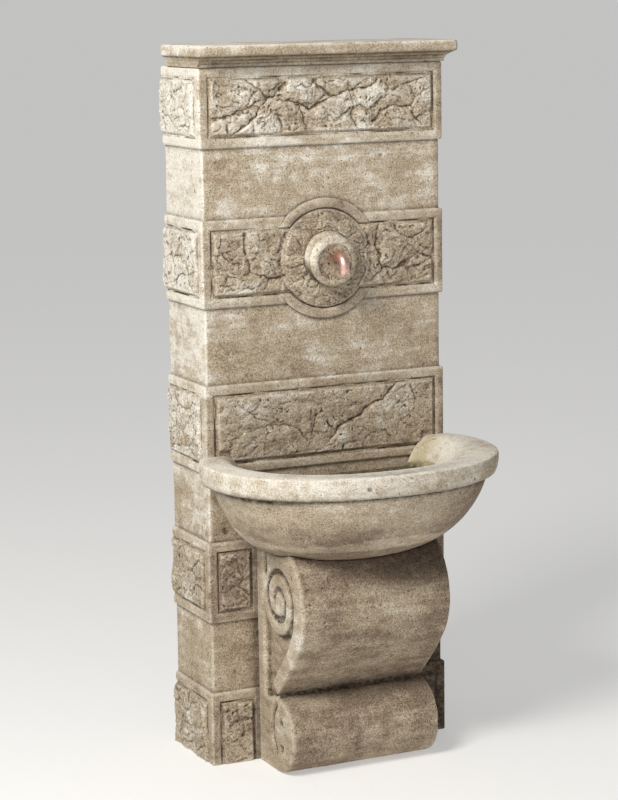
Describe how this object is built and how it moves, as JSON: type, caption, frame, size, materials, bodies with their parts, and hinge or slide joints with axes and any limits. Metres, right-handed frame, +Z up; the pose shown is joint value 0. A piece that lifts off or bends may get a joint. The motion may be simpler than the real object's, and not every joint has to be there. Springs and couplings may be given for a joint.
{
  "type": "wall fountain",
  "caption": "Cast-stone wall fountain: banded back column with coping, half-round hollow basin on a scrolled console, and a copper elbow spout in a round boss.",
  "frame": {"origin": "middle of the underside's bounding rectangle, on the ground the fountain stands on", "axes": "+Z up, +Y from the front towards the wall, +X to the right as seen from the front"},
  "size_m": [0.638, 0.5562, 1.5],
  "materials": {
    "stone_column": "weathered cast stone, matt",
    "stone_coping": "weathered cast stone, matt",
    "stone_basin": "weathered cast stone, matt",
    "stone_console": "weathered cast stone, matt",
    "copper": "bright copper, slightly dulled"
  },
  "bodies": {
    "root": {"column": "stone_column", "coping": "stone_coping", "basin": "stone_basin", "console": "stone_console", "spout": "copper"}
  },
  "joints": []
}
